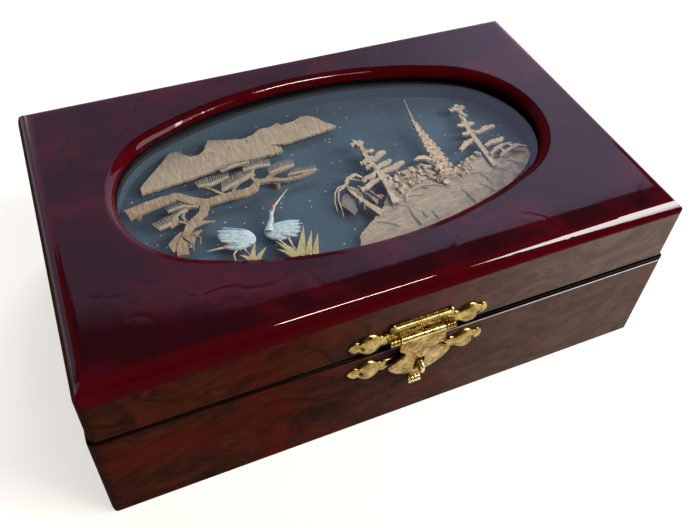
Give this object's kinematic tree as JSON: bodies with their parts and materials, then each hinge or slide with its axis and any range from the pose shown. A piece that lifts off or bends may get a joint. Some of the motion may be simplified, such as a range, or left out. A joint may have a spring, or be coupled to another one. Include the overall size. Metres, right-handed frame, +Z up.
{
  "type": "jewelry box",
  "caption": "Rectangular lacquered wooden jewelry box with a hinged lid, a layered cork landscape under an oval glass in the lid, lined compartments and a brass hasp clasp.",
  "frame": {"origin": "centre of the bottom, on the flat face the box rests on", "axes": "+X along the width, to the right as seen from the front; +Y towards the back, where the hinges are; +Z up"},
  "size_m": [0.2, 0.1303, 0.07],
  "materials": {
    "lacquer": "glossy dark red and black marbled lacquer, with rims painted black",
    "bare_wood": "plain panel, matt",
    "felt": "black felt",
    "lining_fabric": "dark red velvet over card and padding",
    "glass": "clear, polished",
    "mirror": "polished",
    "braid": "dull gold braid",
    "black_card": "matt black card",
    "slate_board": "matt slate blue board",
    "cork": "matt carved cork",
    "white_pith": "matt white, with painted details",
    "brass": "stamped, dull and aged"
  },
  "bodies": {
    "base": {"base_front": "lacquer", "base_right": "lacquer", "base_back": "lacquer", "base_left": "lacquer", "base_floor": "bare_wood", "base_felt": "felt", "base_lining_front": "lining_fabric", "base_lining_right": "lining_fabric", "base_lining_back": "lining_fabric", "base_lining_left": "lining_fabric", "base_pad": "lining_fabric", "ring_bay_card": "lining_fabric", "ring_rolls": "lining_fabric", "divider": "lining_fabric", "hinge_base_leaves": "brass", "hinge_pins": "brass", "hinge_base_screws": "brass", "clasp_lower_plate": "brass", "clasp_lower_nails": "brass", "clasp_staple": "brass"},
    "lid": {"lid_front": "lacquer", "lid_right": "lacquer", "lid_back": "lacquer", "lid_left": "lacquer", "lid_top": "lacquer", "window_glass": "glass", "picture_surround": "black_card", "picture_board": "slate_board", "cork_mountain": "cork", "cork_pine": "cork", "crane_feeding": "white_pith", "crane_standing": "white_pith", "cork_grass": "cork", "cork_island": "cork", "cork_conifer_left": "cork", "cork_conifer_right": "cork", "cork_pagoda": "cork", "cork_willow": "cork", "cork_pavilion": "cork", "lid_lining": "lining_fabric", "lid_mirror": "mirror", "mirror_braid": "braid", "hinge_lid_leaves": "brass", "hinge_lid_screws": "brass", "clasp_upper_plate": "brass", "clasp_upper_nails": "brass", "clasp_pin": "brass"},
    "hasp": {"clasp_leaf": "brass"}
  },
  "joints": [
    {"name": "lid_hinge", "type": "hinge", "parent": "base", "child": "lid", "pos_m": [0, 0.059, 0.04415], "axis": [-1, 0, 0], "range_deg": [0, 96]},
    {"name": "clasp_swing", "type": "hinge", "parent": "lid", "child": "hasp", "pos_m": [0.002, -0.0639, 0.0495], "axis": [-1, 0, 0], "range_deg": [0, 155]}
  ]
}
